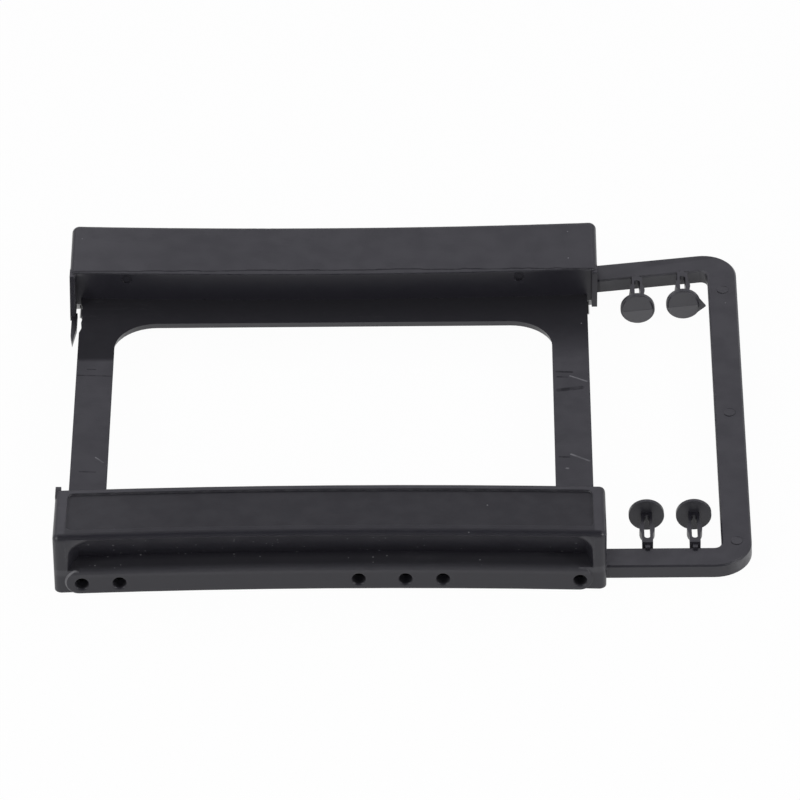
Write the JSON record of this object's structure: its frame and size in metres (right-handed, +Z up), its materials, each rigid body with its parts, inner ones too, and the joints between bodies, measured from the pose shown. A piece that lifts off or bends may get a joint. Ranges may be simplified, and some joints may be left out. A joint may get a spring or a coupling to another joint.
{
  "type": "drive bay adapter bracket",
  "caption": "Black plastic tray that holds a small laptop-size drive between two hollow grooved rails in a larger drive bay, with its push-in rivets still on the moulding runner.",
  "frame": {"origin": "middle of the tray between the rails, at the height of the rails' feet", "axes": "+X along the rails towards the runner, +Y across the bay to the rear rail, +Z up from the feet to the rails' tops"},
  "size_m": [0.1304, 0.1014, 0.0129],
  "materials": {
    "black_plastic": "satin, fine moulded grain"
  },
  "bodies": {
    "root": {"adapter_bracket": "black_plastic"}
  },
  "joints": []
}
